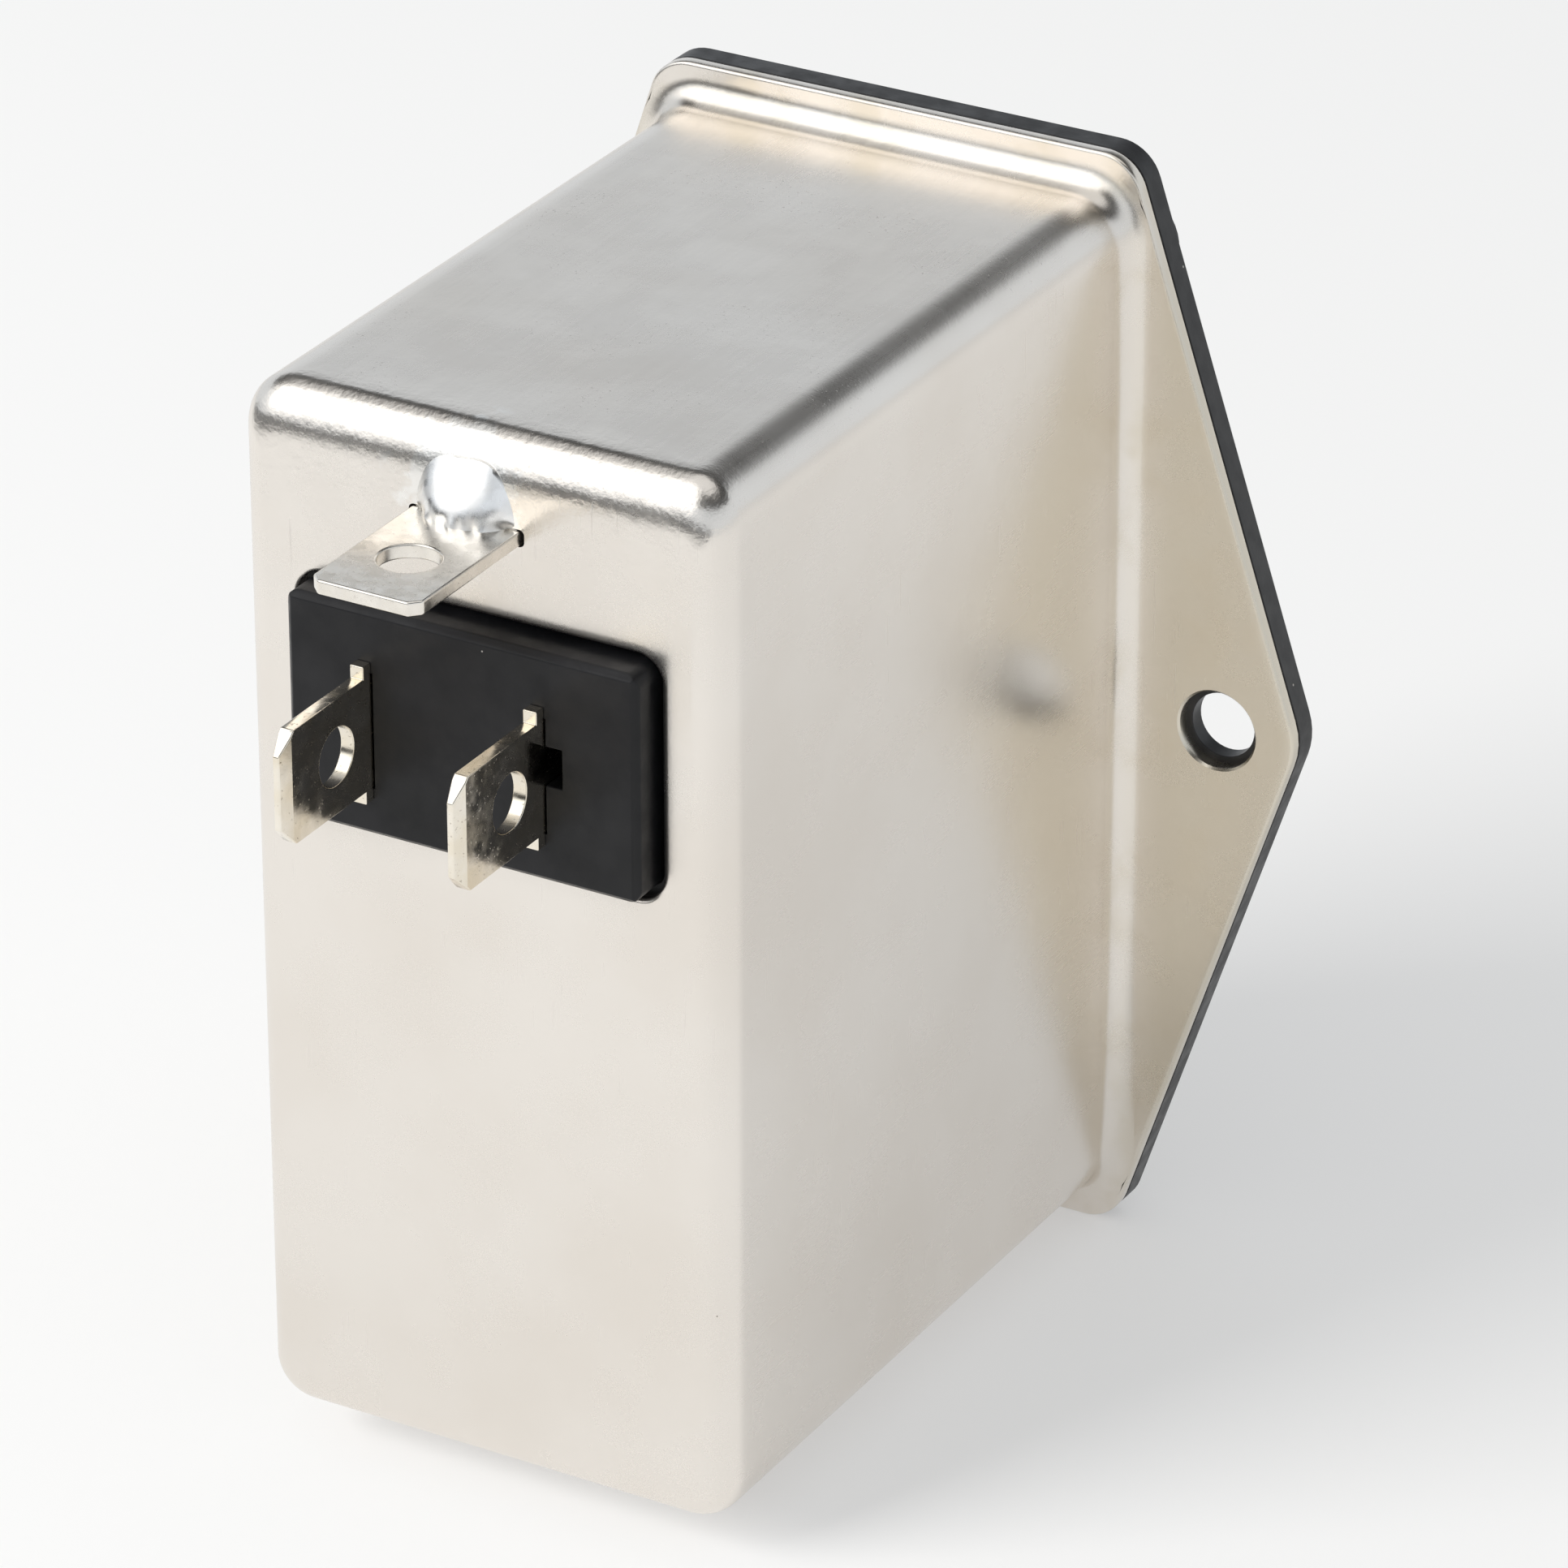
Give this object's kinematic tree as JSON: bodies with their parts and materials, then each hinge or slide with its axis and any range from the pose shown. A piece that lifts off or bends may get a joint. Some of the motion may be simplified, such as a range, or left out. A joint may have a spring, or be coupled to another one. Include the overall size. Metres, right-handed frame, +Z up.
{
  "type": "panel mains inlet filter",
  "caption": "Panel-mounted mains inlet filter: drawn steel can with a six-sided flange, moulded front with rocker switch, inlet and fuse drawer, and flat terminals at the back.",
  "frame": {"origin": "middle of the flange's back face, halfway between the two screw holes", "axes": "+Z up along the can's long side, -Y out of the mains inlet's front, +Y along the can's depth"},
  "size_m": [0.0492, 0.0602, 0.0636],
  "materials": {
    "nickel_steel": "satin nickel plate over drawn steel",
    "black_moulding": "satin black moulded plastic",
    "rocker_black": "glossy black moulded plastic",
    "plated_brass": "bright nickel plate",
    "spring_brass": "bare spring brass",
    "tinned_steel": "bright tin plate",
    "solder": "bright solder",
    "fuse_glass": "clear glass",
    "board": "green lacquered laminate",
    "ferrite": "coated ferrite",
    "copper_wire": "enamelled copper wire",
    "pale_plastic": "natural moulded plastic",
    "capacitor_yellow": "yellow box and resin",
    "capacitor_blue": "blue dipped coating",
    "resistor_tan": "tan lacquer",
    "lead_brown": "brown insulation",
    "lead_blue": "blue insulation",
    "lead_green": "green and yellow insulation",
    "sleeve_film": "insulating film"
  },
  "bodies": {
    "housing": {"shield_can": "nickel_steel", "front_housing": "black_moulding", "line_pin": "plated_brass", "neutral_pin": "plated_brass", "earth_pin": "plated_brass", "switch_body": "black_moulding", "line_lug_in": "plated_brass", "line_lug_out": "plated_brass", "neutral_lug_in": "plated_brass", "neutral_lug_out": "plated_brass", "contact_in": "spring_brass", "contact_out": "spring_brass", "terminal_block": "black_moulding", "line_blade": "plated_brass", "neutral_blade": "plated_brass", "earth_tab": "tinned_steel", "earth_solder": "solder", "circuit_board": "board", "choke_ring": "ferrite", "line_winding": "copper_wire", "neutral_winding": "copper_wire", "choke_divider": "pale_plastic", "main_capacitor": "capacitor_yellow", "disc_capacitor_left": "capacitor_blue", "disc_capacitor_right": "capacitor_blue", "bleed_resistor": "resistor_tan", "line_lead": "lead_brown", "fused_lead": "lead_brown", "neutral_lead": "lead_blue", "line_feed": "lead_brown", "neutral_feed": "lead_blue", "earth_lead": "lead_green", "insulating_sleeve": "sleeve_film"},
    "rocker": {"rocker": "rocker_black"},
    "drawer": {"fuse_drawer": "black_moulding", "working_glass": "fuse_glass", "working_cap_left": "plated_brass", "working_cap_right": "plated_brass", "spare_glass": "fuse_glass", "spare_cap_left": "plated_brass", "spare_cap_right": "plated_brass"}
  },
  "joints": [
    {"name": "rocker_tilt", "type": "hinge", "parent": "housing", "child": "rocker", "pos_m": [0, -0.003, 0.017], "axis": [0, 0, 1], "range_deg": [-18, 0]},
    {"name": "drawer_slide", "type": "slide", "parent": "housing", "child": "drawer", "axis": [0, -1, 0], "range_m": [0, 0.017]}
  ]
}
